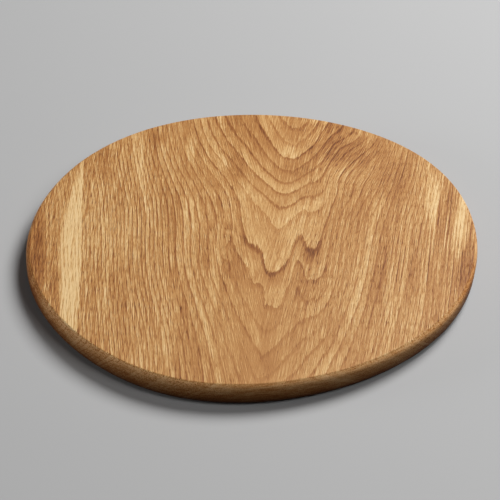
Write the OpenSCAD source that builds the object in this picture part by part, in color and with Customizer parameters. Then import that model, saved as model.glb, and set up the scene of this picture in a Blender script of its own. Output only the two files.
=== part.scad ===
// Serving board cut from one solid plank of oak.
// The outline is a pebble: a closed chain of arcs, each tangent to the next, whose radius
// swells and shrinks in slow waves. The worked edge is one profile carried round that chain.
// The board lies flat, centred on the origin, with its grain along Y and its underside at Z = 0.

/* [Board] */
// Widest extent of the board, across the grain
board_w = 400; // [330:1:470]
// Extent of the board along the grain
board_l = 382; // [320:1:460]
// Thickness of the plank
board_t = 23; // [17:0.5:36]

/* [Edge] */
// How far in from the rim the flat top ends
top_break = 3.4; // [1:0.2:4]
// Radius of the hand-worked arc between the flat top and the side
top_round = 8; // [4:0.5:12]
// Radius of the rounded lower edge
base_round = 8; // [3:0.5:12]

/* [Pebble outline] */
// Swell of the outline's radius towards the diagonals, below 0 for the left front and right back
diagonal_swell = -27; // [-35:1:35]
// Swell of the outline's radius in three waves
three_swell = 13; // [0:1:20]
// Direction of one of the three waves
three_turn = -34; // [-60:1:60]
// Swell of the outline's radius in four waves
four_swell = 8; // [0:1:16]
// Direction of one of the four waves
four_turn = 12; // [-45:1:45]
// Swell of the outline's radius in five waves
five_swell = 19; // [0:1:24]
// Direction of one of the five waves
five_turn = 10; // [-36:1:36]
// Swell of the outline's radius in six waves
six_swell = 11; // [0:1:16]
// Direction of one of the six waves
six_turn = -10; // [-30:1:30]

/* [Hidden] */
$fn = 360;

oak = [0.79, 0.61, 0.41];

// Number of tangent arcs, a multiple of four so that the widest points fall between two arcs
arcs = 24;
// Every arc turns the outline by the same angle
arc_turn = 360 / arcs;
// Depth of the swept rim behind the outline, and how far the core stays behind the outline
rim_depth = 24;
core_inset = 12;
// How far the corner cutters reach past the profile
cut_lap = 1;
// Step that places are first rounded to
thousandth = 0.001;

// The worked arc starts at the side, this far below the flat top
top_drop = sqrt(pow(top_round, 2) - pow(top_round - top_break, 2));
side_top = board_t - top_drop;

function total(list, i = 0) = i < len(list) ? list[i] + total(list, i + 1) : 0;
function heading(i) = [cos(i * arc_turn), sin(i * arc_turn)];
function mid_turn(i) = (i + 0.5) * arc_turn;

// What an arc of radius 1 adds to the outline's width, and to its length
function width_share(i) = heading(i)[0] - heading(i + 1)[0];
function length_share(i) = heading(i + 1)[1] - heading(i)[1];

function swell(i) =
    diagonal_swell * sin(2 * mid_turn(i))
    + three_swell * cos(3 * (mid_turn(i) - three_turn))
    + four_swell * cos(4 * (mid_turn(i) - four_turn))
    + five_swell * cos(5 * (mid_turn(i) - five_turn))
    + six_swell * cos(6 * (mid_turn(i) - six_turn));

back_half = [0 : arcs / 2 - 1];
right_half = [-arcs / 4 : arcs / 4 - 1];
right_back = [0 : arcs / 4 - 1];

// The mean radius and the oval are solved so that the board has exactly its width and length
swell_w = total([for (i = back_half) swell(i) * width_share(i)]);
swell_l = total([for (i = right_half) swell(i) * length_share(i)]);
oval_share = total([for (i = back_half) cos(2 * mid_turn(i)) * width_share(i)]);
mean_radius = (board_w + board_l - swell_w - swell_l) / 4;
oval_swell = (board_w - board_l - swell_w + swell_l) / (2 * oval_share);

function arc_radius(i) = mean_radius + oval_swell * cos(2 * mid_turn(i)) + swell(i);

// The chain starts at the rightmost point, placed so that the box of the outline is centred
start_y = board_l / 2 - total([for (i = right_back) arc_radius(i) * length_share(i)]);
function arc_centre(i) =
    i == 0
    ? [board_w / 2 - arc_radius(0), start_y]
    : arc_centre(i - 1) + (arc_radius(i - 1) - arc_radius(i)) * heading(i);

// Section of the rim, with its side on the line x = 0
module edge_profile() {
    difference() {
        translate([-rim_depth, 0])
            square([rim_depth, board_t]);
        top_corner();
        base_corner();
    }
}

// Waste above the worked arc, which meets the flat top at a shallow angle
module top_corner() {
    difference() {
        translate([-top_round, side_top])
            square([top_round + cut_lap, top_drop + cut_lap]);
        translate([-top_round, side_top])
            circle(r = top_round);
    }
}

// Waste below the rounded lower edge
module base_corner() {
    difference() {
        translate([-base_round, -cut_lap])
            square([base_round + cut_lap, base_round + cut_lap]);
        translate([-base_round, base_round])
            circle(r = base_round);
    }
}

// Moves to the nearest thousandth and then by the rest, so that neighbouring arcs share their joint
module place(spot) {
    snapped = [for (s = spot) round(s / thousandth) * thousandth];
    translate(snapped)
        translate(spot - snapped)
            children();
}

// One arc of the rim, swept about its own centre
module rim_arc(i) {
    place(arc_centre(i))
        rotate_extrude(angle = arc_turn, start = i * arc_turn)
            place([arc_radius(i), 0])
                edge_profile();
}

// Flat middle of the plank, whose corners lie behind the joints between the arcs
module core() {
    linear_extrude(height = board_t)
        polygon([for (i = [0 : arcs - 1]) arc_centre(i) + (arc_radius(i) - core_inset) * heading(i)]);
}

module board() {
    color(oak)
        union() {
            core();
            for (i = [0 : arcs - 1]) rim_arc(i);
        }
}

board();
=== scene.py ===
import math

import bmesh
import bpy
from bpy.props import FloatProperty, FloatVectorProperty, PointerProperty, StringProperty
from mathutils import Matrix, Vector


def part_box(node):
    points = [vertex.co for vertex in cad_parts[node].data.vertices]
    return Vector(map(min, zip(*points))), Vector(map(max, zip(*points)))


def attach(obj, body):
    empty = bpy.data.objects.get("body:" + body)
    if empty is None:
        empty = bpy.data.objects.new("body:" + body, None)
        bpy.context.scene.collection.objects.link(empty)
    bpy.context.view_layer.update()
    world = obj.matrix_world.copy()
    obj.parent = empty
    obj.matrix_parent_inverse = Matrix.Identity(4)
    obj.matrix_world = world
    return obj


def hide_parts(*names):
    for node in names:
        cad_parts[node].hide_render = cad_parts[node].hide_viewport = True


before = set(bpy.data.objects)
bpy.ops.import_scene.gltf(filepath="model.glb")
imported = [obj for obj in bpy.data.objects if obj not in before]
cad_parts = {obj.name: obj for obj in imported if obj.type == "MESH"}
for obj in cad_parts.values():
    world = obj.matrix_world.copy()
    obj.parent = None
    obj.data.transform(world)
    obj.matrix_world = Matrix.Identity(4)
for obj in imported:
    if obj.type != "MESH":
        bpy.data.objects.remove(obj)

bl_info = {
    "name": "Oak serving board",
    "version": (1, 0, 0),
    "blender": (4, 5, 0),
    "location": "3D View > Sidebar > Serving board",
    "description": "A pebble-shaped serving board of solid oak on a pale studio floor",
    "category": "Object",
}

MM = 0.001
CAD_LOW, CAD_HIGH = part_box("board")

# Every arc of the outline turns it by the same angle
ARCS = 24
ARC_TURN = math.tau / ARCS
ARC_STEPS = 12
ROUND_STEPS = 8
EASE_STEPS = 3
# Points nearer than this are one, and edges this near to a height lie on it
MERGE_REACH = 0.01 * MM
LEVEL_REACH = 0.1 * MM


def linear(hex_colour):
    """An sRGB colour such as "C8A070" as linear red, green, blue and alpha."""
    parts = [int(hex_colour[i : i + 2], 16) / 255 for i in (0, 2, 4)]
    return [c / 12.92 if c <= 0.04045 else ((c + 0.055) / 1.055) ** 2.4 for c in parts] + [1.0]


class BoardSizes(bpy.types.PropertyGroup):
    width: FloatProperty(
        name="Width", description="Widest extent across the grain", default=CAD_HIGH[0] - CAD_LOW[0],
        min=0.3, max=0.5, unit="LENGTH", subtype="DISTANCE",
    )
    length: FloatProperty(
        name="Length", description="Extent along the grain", default=CAD_HIGH[1] - CAD_LOW[1],
        min=0.3, max=0.5, unit="LENGTH", subtype="DISTANCE",
    )
    thickness: FloatProperty(
        name="Thickness", description="Thickness of the plank", default=CAD_HIGH[2] - CAD_LOW[2],
        min=0.015, max=0.04, unit="LENGTH", subtype="DISTANCE",
    )
    top_break: FloatProperty(
        name="Top break", description="How far in from the rim the flat top ends", default=3.4 * MM,
        min=0.001, max=0.004, precision=4, unit="LENGTH", subtype="DISTANCE",
    )
    top_round: FloatProperty(
        name="Top round", description="Radius of the hand-worked arc above the side", default=8 * MM,
        min=0.004, max=0.012, precision=4, unit="LENGTH", subtype="DISTANCE",
    )
    base_round: FloatProperty(
        name="Base round", description="Radius of the rounded lower edge", default=8 * MM,
        min=0.003, max=0.012, precision=4, unit="LENGTH", subtype="DISTANCE",
    )
    ease: FloatProperty(
        name="Ease", description="Width of the sanded ease on the corner of the flat top", default=0.5 * MM,
        min=0.0002, max=0.002, precision=4, unit="LENGTH", subtype="DISTANCE",
    )
    diagonal_swell: FloatProperty(
        name="Diagonal swell", description="Swell of the outline's radius towards the diagonals",
        default=-27 * MM, unit="LENGTH", subtype="DISTANCE",
    )
    three_swell: FloatProperty(
        name="Three-wave swell", description="Swell of the outline's radius in three waves",
        default=13 * MM, unit="LENGTH", subtype="DISTANCE",
    )
    three_turn: FloatProperty(
        name="Three-wave turn", description="Direction of one of the three waves",
        default=math.radians(-34), unit="ROTATION", subtype="ANGLE",
    )
    four_swell: FloatProperty(
        name="Four-wave swell", description="Swell of the outline's radius in four waves",
        default=8 * MM, unit="LENGTH", subtype="DISTANCE",
    )
    four_turn: FloatProperty(
        name="Four-wave turn", description="Direction of one of the four waves",
        default=math.radians(12), unit="ROTATION", subtype="ANGLE",
    )
    five_swell: FloatProperty(
        name="Five-wave swell", description="Swell of the outline's radius in five waves",
        default=19 * MM, unit="LENGTH", subtype="DISTANCE",
    )
    five_turn: FloatProperty(
        name="Five-wave turn", description="Direction of one of the five waves",
        default=math.radians(10), unit="ROTATION", subtype="ANGLE",
    )
    six_swell: FloatProperty(
        name="Six-wave swell", description="Swell of the outline's radius in six waves",
        default=11 * MM, unit="LENGTH", subtype="DISTANCE",
    )
    six_turn: FloatProperty(
        name="Six-wave turn", description="Direction of one of the six waves",
        default=math.radians(-10), unit="ROTATION", subtype="ANGLE",
    )


class OakFinish(bpy.types.PropertyGroup):
    pale: StringProperty(
        name="Pale wood", description="Palest fibres, sRGB", default="F4D199",
    )
    straw: StringProperty(
        name="Straw wood", description="Late wood and pale stripes, sRGB", default="E2B475",
    )
    honey: StringProperty(
        name="Honey wood", description="Ground colour of the face, sRGB", default="C58D51",
    )
    brown: StringProperty(
        name="Brown wood", description="Early wood and shaded stripes, sRGB", default="B57B41",
    )
    umber: StringProperty(
        name="Umber wood", description="Stains and ring lines, sRGB", default="995C2B",
    )
    pore: StringProperty(
        name="Pores", description="Open pores under the oil, sRGB", default="74411B",
    )
    edge: StringProperty(
        name="Edge", description="Warm cast of the worked edge, sRGB", default="FFEDE8",
    )
    # Painted shade: the foot colour darkens the worked edge towards the floor, where the light falls off;
    # it is no oil or handling on the wood
    foot: StringProperty(
        name="Foot", description="Shade of oil and handling at the foot, sRGB", default="705E5E",
    )
    ring_width: FloatProperty(
        name="Ring width", description="Width of a year's growth", default=4 * MM,
        min=0.001, max=0.01, precision=4, unit="LENGTH", subtype="DISTANCE",
    )
    roughness: FloatProperty(
        name="Roughness", description="Roughness of the oiled face", default=0.5, min=0, max=1,
        subtype="FACTOR",
    )


class StudioSettings(bpy.types.PropertyGroup):
    camera_distance: FloatProperty(
        name="Camera distance", description="From the camera to the origin, along its view", default=1.348,
        unit="LENGTH", subtype="DISTANCE",
    )
    camera_elevation: FloatProperty(
        name="Camera elevation", description="Camera's angle above the horizon",
        default=math.radians(40), unit="ROTATION", subtype="ANGLE",
    )
    camera_roll: FloatProperty(
        name="Camera roll", description="Turn of the camera about its line of sight",
        default=math.radians(4), unit="ROTATION", subtype="ANGLE",
    )
    lens: FloatProperty(
        name="Lens", description="Focal length on a sensor 36 mm wide", default=108, unit="CAMERA",
    )
    key_azimuth: FloatProperty(
        name="Key azimuth", description="Key light's direction, from the right (+X) towards the back (+Y)",
        default=math.radians(50), unit="ROTATION", subtype="ANGLE",
    )
    key_elevation: FloatProperty(
        name="Key elevation", description="Key light's angle above the horizon",
        default=math.radians(52), unit="ROTATION", subtype="ANGLE",
    )
    floor_bounce: StringProperty(
        name="Floor bounce", description="Floor as the board's sides see it, sRGB", default="5A5A5A",
    )
    floor_colour: StringProperty(
        name="Floor", description="Pale floor as the camera sees it, sRGB", default="BBBBBB",
    )


# The outline

def outline_arcs(size):
    """The outline's chain of tangent arcs, as (centre, radius) pairs, solved for the width and length."""
    heads = [Vector((math.cos(i * ARC_TURN), math.sin(i * ARC_TURN))) for i in range(ARCS + 1)]
    mids = [(i + 0.5) * ARC_TURN for i in range(ARCS)]

    def swell(turn):
        return (
            size.diagonal_swell * math.sin(2 * turn)
            + size.three_swell * math.cos(3 * (turn - size.three_turn))
            + size.four_swell * math.cos(4 * (turn - size.four_turn))
            + size.five_swell * math.cos(5 * (turn - size.five_turn))
            + size.six_swell * math.cos(6 * (turn - size.six_turn))
        )

    width_share = [heads[i].x - heads[i + 1].x for i in range(ARCS)]
    length_share = [heads[i + 1].y - heads[i].y for i in range(ARCS)]
    back_half = range(ARCS // 2)
    right_half = range(-ARCS // 4, ARCS // 4)
    swell_w = sum(swell(mids[i]) * width_share[i] for i in back_half)
    swell_l = sum(swell(mids[i]) * length_share[i] for i in right_half)
    oval_share = sum(math.cos(2 * mids[i]) * width_share[i] for i in back_half)
    mean = (size.width + size.length - swell_w - swell_l) / 4
    oval = (size.width - size.length - swell_w + swell_l) / (2 * oval_share)
    radii = [mean + oval * math.cos(2 * turn) + swell(turn) for turn in mids]

    start_y = size.length / 2 - sum(radii[i] * length_share[i] for i in range(ARCS // 4))
    centre = Vector((size.width / 2 - radii[0], start_y))
    chain = []
    for i in range(ARCS):
        chain.append((centre.copy(), radii[i]))
        if i < ARCS - 1:
            centre += (radii[i] - radii[i + 1]) * heads[i + 1]
    return chain


def edge_section(bm, size, rim):
    """Draws the rim's section from the underside to the flat top, at the outline's point rim."""
    base_centre = Vector((rim.x - size.base_round, rim.y, size.base_round))
    drop = math.sqrt(size.top_round**2 - (size.top_round - size.top_break) ** 2)
    arc_centre = Vector((rim.x - size.top_round, rim.y, size.thickness - drop))

    start = bm.verts.new(base_centre - Vector((0, 0, size.base_round)))
    base = bmesh.ops.spin(
        bm, geom=[start], cent=base_centre, axis=(0, -1, 0), angle=math.pi / 2, steps=ROUND_STEPS,
    )
    corner = [v for v in base["geom_last"] if isinstance(v, bmesh.types.BMVert)]
    side = bmesh.ops.extrude_vert_indiv(bm, verts=corner)["verts"]
    bmesh.ops.translate(bm, verts=side, vec=(0, 0, arc_centre.z - size.base_round))
    bmesh.ops.spin(
        bm, geom=side, cent=arc_centre, axis=(0, -1, 0),
        angle=math.asin(drop / size.top_round), steps=ROUND_STEPS,
    )


def board_mesh(size):
    """The whole plank: the edge section carried round the chain of arcs, closed by two flat faces."""
    bm = bmesh.new()
    chain = outline_arcs(size)
    centre, radius = chain[0]
    edge_section(bm, size, Vector((centre.x + radius, centre.y)))
    section = bm.verts[:] + bm.edges[:]
    for centre, radius in chain:
        swept = bmesh.ops.spin(
            bm, geom=section, cent=centre.to_3d(), axis=(0, 0, 1), angle=ARC_TURN, steps=ARC_STEPS,
        )
        section = swept["geom_last"]
    bmesh.ops.remove_doubles(bm, verts=bm.verts, dist=MERGE_REACH)
    rims = [e for e in bm.edges if e.is_boundary]
    for height in (0, size.thickness):
        ring = [e for e in rims if abs(e.verts[0].co.z - height) < LEVEL_REACH]
        bmesh.ops.contextual_create(bm, geom=ring)
    top_ring = [e for e in rims if e.verts[0].co.z > size.thickness - LEVEL_REACH]
    bmesh.ops.bevel(
        bm, geom=top_ring, offset=size.ease, offset_type="OFFSET", affect="EDGES",
        segments=EASE_STEPS, profile=0.5, material=-1,
    )
    bmesh.ops.recalc_face_normals(bm, faces=bm.faces)
    # The face and the underside stay flat
    for face in bm.faces:
        face.smooth = len(face.verts) <= 4
    mesh = bpy.data.meshes.new("oak_board")
    bm.to_mesh(mesh)
    bm.free()
    return mesh


# The oak

# Places on the face in the tables below: x, y, half width and half length in mm, and then an amount

# Where the growth rings reach outwards (below 0) or fall back, by an amount in mm
RING_SHIFTS = {
    "ridge between the two peaks": (39, -55, 9, 60, 2.5),
    "second peak": (60, -20, 24, 150, -6.5),
    "left of the first peak": (9, -70, 9, 26, 1.8),
    "blunt tip of the first peak": (21, -62, 11, 26, 1.0),
    "tip of the next year": (25, -93, 10, 30, -1.4),
    "left shoulder": (-12, 6, 26, 62, -3.3),
    "left notch": (-27, -12, 8, 40, -4.5),
    "curl at the right back": (102, 168, 42, 48, -9.0),
    "swell before the curl": (82, 98, 26, 36, 4.0),
    "sweep of the left flank at the back": (-64, 185, 66, 150, -9.0),
    "sweep of the left flank at the front": (-60, -150, 80, 120, 5.5),
}

# Years of growth that stand out, counted from the pith, and their tone
YEAR_TONES = {
    11: 0.05, 12: 0.12, 13: -0.1, 14: -0.04, 17: 0.05, 18: 0.12, 19: -0.08, 20: -0.02, 22: -0.05,
    25: 0.04, 27: -0.06, 32: 0.06,
}

# Paler and darker spots of the face, by a tone from -1 (dark) to 1 (pale)
TONE_SPOTS = {
    "pale tip of the back cathedral": (27, 128, 16, 24, 0.16),
    "red shade below that tip": (30, 98, 34, 20, -0.1),
    "dark curl at the right back": (74, 134, 32, 38, -0.3),
    "shade at the back rim": (60, 172, 30, 16, -0.14),
    "shade over the back": (20, 150, 110, 55, -0.1),
    "shade left of the back cathedral": (-20, 95, 13, 50, -0.28),
    "pale stripe at the back": (-60, 122, 8, 40, 0.26),
    "shade left of that stripe": (-90, 140, 12, 34, -0.14),
    "shade under the first peak": (14, -58, 34, 22, -0.1),
    "shade under the second peak": (50, -24, 18, 14, -0.12),
    "flame of the left notch": (-23, -48, 9, 16, -0.16),
    "pale stripe into the left notch": (-33, -45, 10, 90, 0.22),
    "pale patch at the front": (-30, -142, 14, 22, 0.08),
    "pale ground beside the pale strip": (-146, 0, 10, 90, 0.12),
    "pale ground left of the middle": (-124, -25, 22, 66, 0.2),
    "front end of the pale strip": (-167, -98, 9, 30, 0.16),
    "shade along the left rim": (-195, -50, 15, 100, -0.38),
    "stain at the left rim": (-176, -92, 11, 38, -0.14),
    "brown patch at the left back": (-137, 88, 14, 40, -0.18),
    "pale stripe at the left back": (-103, 90, 6, 60, 0.12),
    "thin pale stripe at the left front": (-131, -100, 3, 60, 0.16),
    "broad pale stripe": (100, -60, 14, 105, 0.13),
    "pale stripe right of it": (124, -64, 6, 60, 0.12),
    "pale ground at the right front": (78, -155, 20, 30, 0.12),
    "shade at the front": (20, -160, 16, 24, -0.1),
    "mottled shade on the right": (121, -15, 14, 80, -0.08),
    "pale ground at the right": (140, 40, 11, 50, 0.08),
    "pale stripe at the right back": (153, 75, 9, 60, 0.3),
    "dark line between the right stripes": (169, 75, 3, 44, -0.26),
    "pale stripe at the right rim": (181, 36, 7, 84, 0.34),
    "shade at the right back": (116, 98, 18, 60, -0.22),
    "shade inside the first peak": (19, -22, 16, 30, -0.06),
    "dark patch at the right rim": (190, -26, 15, 56, -0.36),
    # Painted light: the rim at the right, which faces the key and the right fill, is painted paler
    "painted light on the right rim": (200, 20, 7, 70, 0.3),
}

# Where the ring lines stand out more (above 0) or less
RING_VIGOUR = {
    "middle": (25, -30, 60, 75, 0.28),
    "back": (20, 150, 120, 80, 0.15),
    "left flank": (-75, 0, 80, 190, 0.45),
    "outer left flank": (-118, 0, 60, 200, 0.45),
    "right front": (60, -130, 90, 60, -0.3),
    "nested tips in front of the first peak": (10, -90, 60, 45, 0.3),
}

# Where the fine grain stands out more (above 0) or less
GRAIN_VIGOUR = {
    "left": (-150, 0, 120, 240, 0.25),
    "front": (40, -170, 140, 110, -0.35),
}

# Where the wood is streaked most, and where the fibres swing aside at the back, in mm
STREAKED_FLANK = (168, 25, 40, 130, 1.2)
LEFT_SWING = (-45, 165, 60, 120, 9)
RIGHT_SWING = (100, 175, 65, 110, -18)

# The pith, in mm: it lies deep below the face, comes nearer towards the back and dips once on its way
PITH_SIDE = 20
PITH_SKEW = 0.04
PITH_DEPTH = 67.1
PITH_RISE = 0.138
PITH_DIP = 7.2
PITH_DIP_AT = 30
PITH_DIP_REACH = 65
# Rings are flatter than circles, fan out on the left up to a place, and come to a point over the pith
RING_SQUASH = 0.85
LEFT_FAN = -0.001
LEFT_FAN_END = 30
POINT_LENGTH = 2.2
POINT_FALL = 0.007
# Years further than this from the pith, in mm, are narrower: each mm past it counts as part of a year more
OUTER_YEARS = 115
OUTER_SHARE = 0.14
# Tone through a year, from its porous early wood on: place and tone
YEAR_PROFILE = ((0, 0.0), (0.12, 0.05), (0.22, 0.65), (0.5, 0.82), (0.95, 1.0), (1, 0.0))
YEAR_MIDDLE = 0.7
RING_STRENGTH = 0.36
YEAR_STRENGTH = 0.1
# How far ring lines stand out: at least, by chance from year to year, and less on the worked edge
LINE_LEAST = 0.3
LINE_CHANCE = 0.9
LINE_ON_EDGE = -0.4

# Fibres fan out towards the back and lean by a share of their length, on the left most near the middle
FIBRE_FAN = -0.0007
LEFT_LEAN = 0.17
LEFT_LEAN_GROWTH = 0.0008
RIGHT_LEAN = -0.12
# Between these places, in mm, the left flank's lean passes into the right one's
LEANS_MEET = (-30, 50)
# Beside the pith the rings are jagged up to the first distance in mm, and smoother from the second on
JAGGED_RINGS = 20
SMOOTH_RINGS = 90
SMOOTH_SHARE = 0.4

# The pale strip at the left, in mm: its sides, how it bows, and how softly each side ends
STRIP_LEFT = -176
STRIP_RIGHT = -154
STRIP_BOW = 0.0008
STRIP_BOW_AT = -60
STRIP_FRAY = 7
STRIP_CRISP = 0.6

# A Mix node's sockets share their names, so they are told apart by their places
NUMBER_A = 2
NUMBER_B = 3
COLOUR_A = 6
COLOUR_B = 7
COLOUR_OUT = 2

# Noise of the wood: reach across the fibres, along them and in depth in mm, strength, and finer octaves
FIBRE_SWAY = ((70, 160, 50), 4)
RING_WANDER = ((40, 100, 40), 1.4, 1)
RING_WAVER = ((7, 60, 7), 1.2, 1)
RING_JAGS = ((1.3, 34, 1.3), 1.6, 1)
VIGOUR_DRIFT = ((40, 60, 40), 1.2)
BROAD_SHADES = ((22, 140, 20), 0.24)
BANDS = ((4, 110, 5), 0.14, 1)
STREAKS = ((1.7, 110, 2), 1.4, 1)
LONG_FIBRES = ((0.65, 75, 0.65), 0.62)
FIBRES = ((0.38, 16, 0.38), 0.8)
SHORT_FIBRES = ((0.7, 4, 0.7), 0.2)
EDGE_LINES = ((14, 14, 0.8), 0.7, 1)
# Open pores show as dashes some 0.4 mm wide and 9 mm long, where their noise falls between two levels
PORES = ((0.38, 9, 0.38), 1, 1)
PORE_LEVELS = (-0.06, -0.2)
NOISE_ROUGHNESS = 0.55

# Tones on a scale from 0 (pores) to 1 (palest fibres): the ground, and what the rest adds to it
GROUND_TONE = 0.605
PORE_TONE = -0.38
PORE_IN_STRIP = 0.25
STRIP_TONE = 0.36
STRIP_ON_EDGE = -0.3
# The worked edge's own tone, and the painted shade that darkens it towards its foot
EDGE_TONE = 0.26
FOOT_SHADE_TONE = -0.35
# Strength of the fine grain and of the streaks outside the places named above
GRAIN_GROUND = 1.05
STREAKED_GROUND = 0.12
# Depths in mm where the face passes into the worked edge, and heights where that passes into the underside
FACE_TO_EDGE = (-0.3, -1.5)
EDGE_TO_BASE = (0.8, 0.1)
# The edge's painted shade deepens from this depth below the face down to this height above the underside,
# in mm
FOOT_FROM = -3
FOOT_TO = 4
# Specular level of the oiled face, and of the worked edge, which shines less
FACE_GLOSS = 0.25
EDGE_GLOSS = 0.05
# Relief of the face: pores lie low and the fibres between them high
RELIEF_DEPTH = 0.15 * MM
RELIEF_STRENGTH = 0.6
PORE_RELIEF = -1
FIBRE_RELIEF = 1.5


def add(tree, kind, *inputs, out=0, **settings):
    """Adds a shader node, sets and links its inputs, and gives back one of its outputs.

    A kind may end in an operation, as in "Math ADD". Inputs are sockets or plain values in the node's own
    order, or one dictionary of them by name or index.
    """
    kind, _, operation = kind.partition(" ")
    node = tree.nodes.new("ShaderNode" + kind)
    if operation:
        node.operation = operation
    for name, value in settings.items():
        setattr(node, name, value)
    by_name = inputs and isinstance(inputs[0], dict)
    for key, value in (inputs[0] if by_name else dict(enumerate(inputs))).items():
        if isinstance(value, bpy.types.NodeSocket):
            tree.links.new(value, node.inputs[key])
        else:
            node.inputs[key].default_value = value
    return node.outputs[out]


def total(tree, *values):
    """Sum of scalar sockets and numbers."""
    result = values[0]
    for value in values[1:]:
        result = add(tree, "Math ADD", result, value)
    return result


def spots(tree, at, reach, strength, detail=0.0):
    """Soft noise with spots of the given reach in mm, between about minus and plus half the strength."""
    place = add(tree, "VectorMath MULTIPLY", at, tuple(1 / r for r in reach))
    noise = add(tree, "TexNoise", {
        "Vector": place, "Scale": 1, "Detail": detail, "Roughness": NOISE_ROUGHNESS,
    })
    return add(tree, "Math MULTIPLY", add(tree, "Math SUBTRACT", noise, 0.5), strength)


def bell(tree, at, x, y, half_width, half_length, height):
    """A smooth hill of the given height round a place on the face, with an elliptical foot."""
    away = add(tree, "VectorMath SUBTRACT", at, (x, y, 0))
    away = add(tree, "VectorMath MULTIPLY", away, (1 / half_width, 1 / half_length, 0))
    square = add(tree, "VectorMath DOT_PRODUCT", away, away, out="Value")
    left = add(tree, "Math SUBTRACT", 1, square, use_clamp=True)
    return add(tree, "Math MULTIPLY", add(tree, "Math POWER", left, 2), height)


def bells(tree, at, table):
    """One hill for each row of a table of places."""
    return [bell(tree, at, *row) for row in table.values()]


def set_stops(colour_ramp, stops):
    """Gives a colour ramp its (place, colour) stops, with colours in sRGB hex or as grey numbers."""
    elements = colour_ramp.elements
    while len(elements) < len(stops):
        elements.new(0.5)
    for element, (place, colour) in zip(elements, stops):
        element.position = place
        element.color = linear(colour) if isinstance(colour, str) else (colour, colour, colour, 1)


def ring_field(tree, at):
    """Distance from the pith in mm: level curves of it are the growth rings, cathedrals on the face."""
    x, y, z = add(tree, "SeparateXYZ", at).node.outputs
    left = add(tree, "Math MINIMUM", x, LEFT_FAN_END)
    fan = add(tree, "Math MULTIPLY", add(tree, "Math MULTIPLY", y, LEFT_FAN), left)
    axis = add(tree, "Math MULTIPLY_ADD", y, PITH_SKEW, PITH_SIDE)
    beside = add(tree, "Math SUBTRACT", add(tree, "Math ADD", x, fan), axis)
    across = add(tree, "Math MULTIPLY", beside, RING_SQUASH)
    past = add(tree, "Math DIVIDE", add(tree, "Math SUBTRACT", y, PITH_DIP_AT), PITH_DIP_REACH)
    fall = add(tree, "Math MULTIPLY", add(tree, "Math POWER", past, 2), -1)
    depth = total(
        tree,
        add(tree, "Math MULTIPLY_ADD", y, -PITH_RISE, PITH_DEPTH),
        add(tree, "Math MULTIPLY", add(tree, "Math EXPONENT", fall), PITH_DIP),
        z,
    )
    across_square = add(tree, "Math POWER", across, 2)
    depth_square = add(tree, "Math POWER", depth, 2)
    around = add(tree, "Math SQRT", add(tree, "Math ADD", across_square, depth_square))
    near = add(tree, "Math EXPONENT", add(tree, "Math MULTIPLY", across_square, -POINT_FALL))
    point = add(tree, "Math MULTIPLY_ADD", near, -POINT_LENGTH, POINT_LENGTH)
    return total(tree, around, point, *bells(tree, at, RING_SHIFTS))


def fibre_leans(tree, at, x, y, z, sway):
    """The fibres' own places, leaning with the rings of the left and of the right flank, and a blend."""
    left_lean = add(tree, "Math MULTIPLY_ADD", x, LEFT_LEAN_GROWTH, LEFT_LEAN)
    left = total(tree, x, add(tree, "Math MULTIPLY", left_lean, y), sway, bell(tree, at, *LEFT_SWING))
    right = total(tree, x, add(tree, "Math MULTIPLY", y, RIGHT_LEAN), sway, bell(tree, at, *RIGHT_SWING))
    return (
        add(tree, "CombineXYZ", left, y, z),
        add(tree, "CombineXYZ", right, y, z),
        add(tree, "MapRange", x, *LEANS_MEET, interpolation_type="SMOOTHSTEP"),
    )


def grain(tree, lean, reach, strength, detail=0.0):
    """Noise drawn out along the fibres, whose lean passes from the left flank's to the right one's."""
    left, right, blend = lean
    one = spots(tree, left, reach, strength, detail)
    other = spots(tree, right, reach, strength, detail)
    return add(tree, "Mix", {"Factor": blend, NUMBER_A: one, NUMBER_B: other}, data_type="FLOAT")


def pale_strip(tree, fan, y):
    """The pale strip at the left: crisp on its right side, frayed and bowed on its left."""
    bow = add(tree, "Math POWER", add(tree, "Math SUBTRACT", y, STRIP_BOW_AT), 2)
    left = add(tree, "Math MULTIPLY_ADD", bow, STRIP_BOW, STRIP_LEFT)
    inside = add(tree, "Math SUBTRACT", fan, left)
    frayed = add(tree, "MapRange", inside, 0, STRIP_FRAY, interpolation_type="SMOOTHSTEP")
    crisp = add(
        tree, "MapRange", fan, STRIP_RIGHT + STRIP_CRISP, STRIP_RIGHT - STRIP_CRISP,
        interpolation_type="SMOOTHSTEP",
    )
    return add(tree, "Math MULTIPLY", frayed, crisp)


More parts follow.
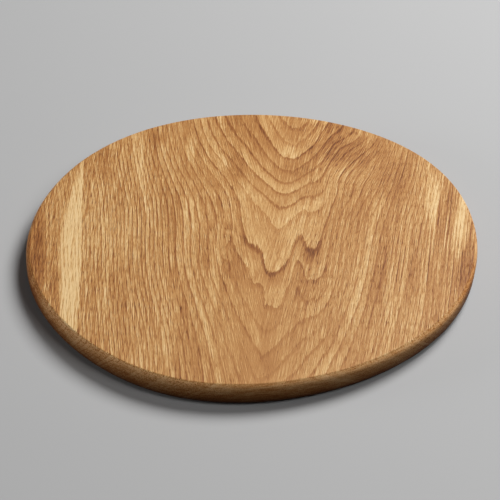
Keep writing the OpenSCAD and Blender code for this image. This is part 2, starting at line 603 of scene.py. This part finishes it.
def growth_rings(tree, look, at, lean, x, side):
    """What the rings add to the tone: lines that stand out by place and by year, and marked years."""
    # The rings are jagged in the middle and run smoother on the flanks
    flank = add(tree, "Math ABSOLUTE", add(tree, "Math SUBTRACT", x, PITH_SIDE))
    jagged = add(tree, "MapRange", flank, SMOOTH_RINGS, JAGGED_RINGS, interpolation_type="SMOOTHSTEP")
    jagged = add(tree, "Math MULTIPLY_ADD", jagged, 1 - SMOOTH_SHARE, SMOOTH_SHARE)
    field = total(
        tree,
        ring_field(tree, at),
        spots(tree, at, *RING_WANDER),
        grain(tree, lean, *RING_WAVER),
        add(tree, "Math MULTIPLY", grain(tree, lean, *RING_JAGS), jagged),
    )
    outer = add(tree, "Math MAXIMUM", add(tree, "Math SUBTRACT", field, OUTER_YEARS), 0)
    count = add(tree, "Math DIVIDE", field, look.ring_width / MM)
    year = add(tree, "Math MULTIPLY_ADD", outer, OUTER_SHARE, count)
    wood = add(tree, "ValToRGB", add(tree, "Math FRACT", year))
    set_stops(wood.node.color_ramp, YEAR_PROFILE)
    chance = add(tree, "TexWhiteNoise", {"W": add(tree, "Math FLOOR", year)}, noise_dimensions="1D")
    vigour = total(
        tree,
        add(tree, "Math MULTIPLY_ADD", chance, LINE_CHANCE, LINE_LEAST),
        spots(tree, at, *VIGOUR_DRIFT),
        *bells(tree, at, RING_VIGOUR),
        add(tree, "Math MULTIPLY", side, LINE_ON_EDGE),
    )
    vigour = add(tree, "Math MULTIPLY", vigour, RING_STRENGTH)
    line = add(tree, "Math SUBTRACT", wood, YEAR_MIDDLE)
    yearly = add(tree, "Math SUBTRACT", chance, 0.5)
    marked = [
        add(tree, "Math MULTIPLY", add(tree, "Math COMPARE", year, number + 0.5, 0.5), tone)
        for number, tone in YEAR_TONES.items()
    ]
    return total(
        tree,
        add(tree, "Math MULTIPLY", line, vigour),
        add(tree, "Math MULTIPLY", yearly, YEAR_STRENGTH),
        *marked,
    )


def fine_grain(tree, at, lean, pores, strip):
    """What single fibres and open pores add to the tone: most at the left, least at the front."""
    pore_tone = add(tree, "Math MULTIPLY_ADD", strip, PORE_IN_STRIP, PORE_TONE)
    fine = total(
        tree,
        grain(tree, lean, *LONG_FIBRES),
        grain(tree, lean, *FIBRES),
        grain(tree, lean, *SHORT_FIBRES),
        add(tree, "Math MULTIPLY", pores, pore_tone),
    )
    vigour = total(tree, GRAIN_GROUND, *bells(tree, at, GRAIN_VIGOUR))
    return add(tree, "Math MULTIPLY", fine, vigour)


def oak_material(look, size):
    """Oiled oak, flat sawn: long cathedral rings, pores as dark dashes along the grain, a satin sheen."""
    material = bpy.data.materials.new("oiled_oak")
    material.use_nodes = True
    tree = material.node_tree
    tree.nodes.clear()

    # Places in mm, with z measured from the face; fibres fan out towards the back and sway a little
    low = -size.thickness / MM
    local = add(tree, "TexCoord", out="Object")
    at = add(tree, "VectorMath MULTIPLY_ADD", local, (1 / MM, 1 / MM, 1 / MM), (0, 0, low))
    x, y, z = add(tree, "SeparateXYZ", at).node.outputs
    sway = spots(tree, at, *FIBRE_SWAY)
    fan = add(tree, "Math MULTIPLY", x, add(tree, "Math MULTIPLY_ADD", y, FIBRE_FAN, 1))
    fan = add(tree, "Math ADD", fan, sway)
    fibre = add(tree, "CombineXYZ", fan, y, z)
    lean = fibre_leans(tree, at, x, y, z, sway)

    # The worked edge lies between the face and the underside, and is painted darker towards its foot, as
    # shade
    base_start, base_end = (low + height for height in EDGE_TO_BASE)
    below_face = add(tree, "MapRange", z, *FACE_TO_EDGE, interpolation_type="SMOOTHSTEP")
    underside = add(tree, "MapRange", z, base_start, base_end, interpolation_type="SMOOTHSTEP")
    side = add(tree, "Math SUBTRACT", below_face, underside)
    foot = add(tree, "MapRange", z, FOOT_FROM, low + FOOT_TO)

    dashes = grain(tree, lean, *PORES)
    pores = add(tree, "MapRange", dashes, *PORE_LEVELS, interpolation_type="SMOOTHSTEP")
    strip = pale_strip(tree, fan, y)
    strip_tone = add(tree, "Math MULTIPLY_ADD", side, STRIP_ON_EDGE, STRIP_TONE)
    edge_tone = add(tree, "Math MULTIPLY_ADD", foot, FOOT_SHADE_TONE, EDGE_TONE)
    streaked = total(tree, STREAKED_GROUND, bell(tree, fibre, *STREAKED_FLANK))
    tone = total(
        tree,
        GROUND_TONE,
        growth_rings(tree, look, at, lean, x, side),
        fine_grain(tree, at, lean, pores, strip),
        spots(tree, fibre, *BROAD_SHADES),
        grain(tree, lean, *BANDS),
        add(tree, "Math MULTIPLY", spots(tree, fibre, *STREAKS), streaked),
        add(tree, "Math MULTIPLY", strip, strip_tone),
        add(tree, "Math MULTIPLY", side, edge_tone),
        add(tree, "Math MULTIPLY", side, spots(tree, at, *EDGE_LINES)),
        *bells(tree, fibre, TONE_SPOTS),
    )
    colour = add(tree, "ValToRGB", tone)
    set_stops(colour.node.color_ramp, (
        (0.0, look.pore), (0.2, look.umber), (0.4, look.brown), (0.6, look.honey), (0.8, look.straw),
        (1.0, look.pale),
    ))
    # Painted shade: the edge's colour is multiplied from the warm edge colour down to the foot colour,
    # towards its foot
    foot_shade_ramp = add(tree, "ValToRGB", foot)
    set_stops(foot_shade_ramp.node.color_ramp, ((0, look.edge), (1, look.foot)))
    colour = add(
        tree, "Mix", {"Factor": side, COLOUR_A: colour, COLOUR_B: foot_shade_ramp}, out=COLOUR_OUT,
        data_type="RGBA", blend_type="MULTIPLY",
    )
    fibre_height = add(tree, "Math MULTIPLY", dashes, FIBRE_RELIEF)
    height = add(tree, "Math MULTIPLY_ADD", pores, PORE_RELIEF, fibre_height)
    relief = add(tree, "Bump", {
        "Strength": RELIEF_STRENGTH, "Distance": RELIEF_DEPTH, "Height": height,
    })
    gloss = add(tree, "Math MULTIPLY_ADD", side, EDGE_GLOSS - FACE_GLOSS, FACE_GLOSS)
    shader = add(tree, "BsdfPrincipled", {
        "Base Color": colour, "Roughness": look.roughness, "Specular IOR Level": gloss, "Normal": relief,
    })
    output = tree.nodes.new("ShaderNodeOutputMaterial")
    tree.links.new(shader, output.inputs["Surface"])
    return material


class OBJECT_OT_oak_board(bpy.types.Operator):
    """Build the board as one plank of oak in place of the plain solid"""

    bl_idname = "object.oak_board"
    bl_label = "Oak board"

    def execute(self, context):
        size = context.scene.board_sizes
        board = bpy.data.objects.new("oak_board", board_mesh(size))
        context.scene.collection.objects.link(board)
        board.data.materials.append(oak_material(context.scene.oak_finish, size))
        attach(board, "root")
        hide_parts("board")
        return {"FINISHED"}


class OBJECT_OT_studio(bpy.types.Operator):
    """Lay the pale floor, aim the camera and set the soft lights"""

    bl_idname = "object.studio"
    bl_label = "Studio"

    def execute(self, context):
        scene = context.scene
        studio = scene.studio_settings
        scene.view_settings.view_transform = "Standard"
        lay_floor(scene, studio)
        aim_camera(scene, studio)
        set_lights(scene, studio)
        return {"FINISHED"}


# Half the floor's width in metres, and how matt its plaster is
FLOOR_REACH = 6.0
FLOOR_ROUGHNESS = 0.8
# How far the camera stands aside of the origin's line of sight, to the left and up
CAMERA_ASIDE = (-3.7 * MM, 4.2 * MM)
# Width of the camera's sensor in mm, and how far it sees in metres
SENSOR_WIDTH = 36
SIGHT_END = 20
# Softboxes: distance and width in metres and power in watts; the fills' azimuth and elevation in degrees
KEY_BOX = (2.8, 1.48, 79)
LEFT_FILL = (190, 8)
LEFT_FILL_BOX = (3.0, 1.3, 28)
RIGHT_FILL = (-30, 50)
RIGHT_FILL_BOX = (3.0, 1.3, 17)
ROOM_LIGHT = 0.002


def lay_floor(scene, studio):
    """A plain pale floor of matt plaster that runs out of view."""
    bm = bmesh.new()
    bmesh.ops.create_grid(bm, x_segments=1, y_segments=1, size=FLOOR_REACH)
    mesh = bpy.data.meshes.new("floor")
    bm.to_mesh(mesh)
    bm.free()
    floor = bpy.data.objects.new("floor", mesh)
    scene.collection.objects.link(floor)
    material = bpy.data.materials.new("pale_plaster")
    material.use_nodes = True
    tree = material.node_tree
    shader = tree.nodes["Principled BSDF"]
    shader.inputs["Roughness"].default_value = FLOOR_ROUGHNESS
    # The camera, reflections and glass see it pale, while it throws little light back on the board's sides
    rays = add(tree, "LightPath").node.outputs
    seen = total(tree, rays["Is Camera Ray"], rays["Is Glossy Ray"], rays["Is Transmission Ray"])
    colour = add(tree, "Mix", {
        "Factor": seen,
        COLOUR_A: linear(studio.floor_bounce),
        COLOUR_B: linear(studio.floor_colour),
    }, out=COLOUR_OUT, data_type="RGBA")
    tree.links.new(colour, shader.inputs["Base Color"])
    mesh.materials.append(material)


def aim_camera(scene, studio):
    """The camera looks down along +Y, a little past the board's centre, and leans by its roll."""
    data = bpy.data.cameras.new("camera")
    data.sensor_width = SENSOR_WIDTH
    data.lens = studio.lens
    data.clip_end = SIGHT_END
    camera = bpy.data.objects.new("camera", data)
    scene.collection.objects.link(camera)
    aside = Vector((*CAMERA_ASIDE, studio.camera_distance))
    turn = Matrix.Rotation(math.pi / 2 - studio.camera_elevation, 4, "X")
    roll = Matrix.Rotation(studio.camera_roll, 4, "Z")
    camera.matrix_world = turn @ Matrix.Translation(aside) @ roll
    scene.camera = camera


def set_lights(scene, studio):
    """A large soft key from the back right, a low fill from the left, a weak one from the right front."""
    soft_light(scene, "key", studio.key_azimuth, studio.key_elevation, *KEY_BOX)
    soft_light(scene, "left_fill", *map(math.radians, LEFT_FILL), *LEFT_FILL_BOX)
    soft_light(scene, "right_fill", *map(math.radians, RIGHT_FILL), *RIGHT_FILL_BOX)
    world = bpy.data.worlds.new("room")
    world.use_nodes = True
    room = world.node_tree.nodes["Background"]
    room.inputs["Color"].default_value = linear("FFFFFF")
    room.inputs["Strength"].default_value = ROOM_LIGHT
    scene.world = world


def soft_light(scene, name, azimuth, elevation, distance, width, power):
    """A round softbox that faces the origin, at an azimuth counted from the right (+X) to the back (+Y)."""
    data = bpy.data.lights.new(name, "AREA")
    data.shape = "DISK"
    data.size = width
    data.energy = power
    light = bpy.data.objects.new(name, data)
    turn = Matrix.Rotation(azimuth, 4, "Z") @ Matrix.Rotation(math.pi / 2 - elevation, 4, "Y")
    light.matrix_world = turn @ Matrix.Translation((0, 0, distance))
    scene.collection.objects.link(light)


class VIEW3D_PT_serving_board(bpy.types.Panel):
    bl_label = "Serving board"
    bl_space_type = "VIEW_3D"
    bl_region_type = "UI"
    bl_category = "Serving board"

    def draw(self, context):
        for group in (context.scene.board_sizes, context.scene.oak_finish, context.scene.studio_settings):
            box = self.layout.box()
            for name in group.__annotations__:
                box.prop(group, name)
        self.layout.operator(OBJECT_OT_oak_board.bl_idname)
        self.layout.operator(OBJECT_OT_studio.bl_idname)


CLASSES = (
    BoardSizes, OakFinish, StudioSettings, OBJECT_OT_oak_board, OBJECT_OT_studio, VIEW3D_PT_serving_board,
)


def register():
    for cls in CLASSES:
        bpy.utils.register_class(cls)
    bpy.types.Scene.board_sizes = PointerProperty(type=BoardSizes)
    bpy.types.Scene.oak_finish = PointerProperty(type=OakFinish)
    bpy.types.Scene.studio_settings = PointerProperty(type=StudioSettings)


def unregister():
    del bpy.types.Scene.studio_settings
    del bpy.types.Scene.oak_finish
    del bpy.types.Scene.board_sizes
    for cls in reversed(CLASSES):
        bpy.utils.unregister_class(cls)


def main():
    register()
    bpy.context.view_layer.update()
    bpy.ops.object.oak_board()
    bpy.ops.object.studio()


if __name__ == "__main__":
    main()
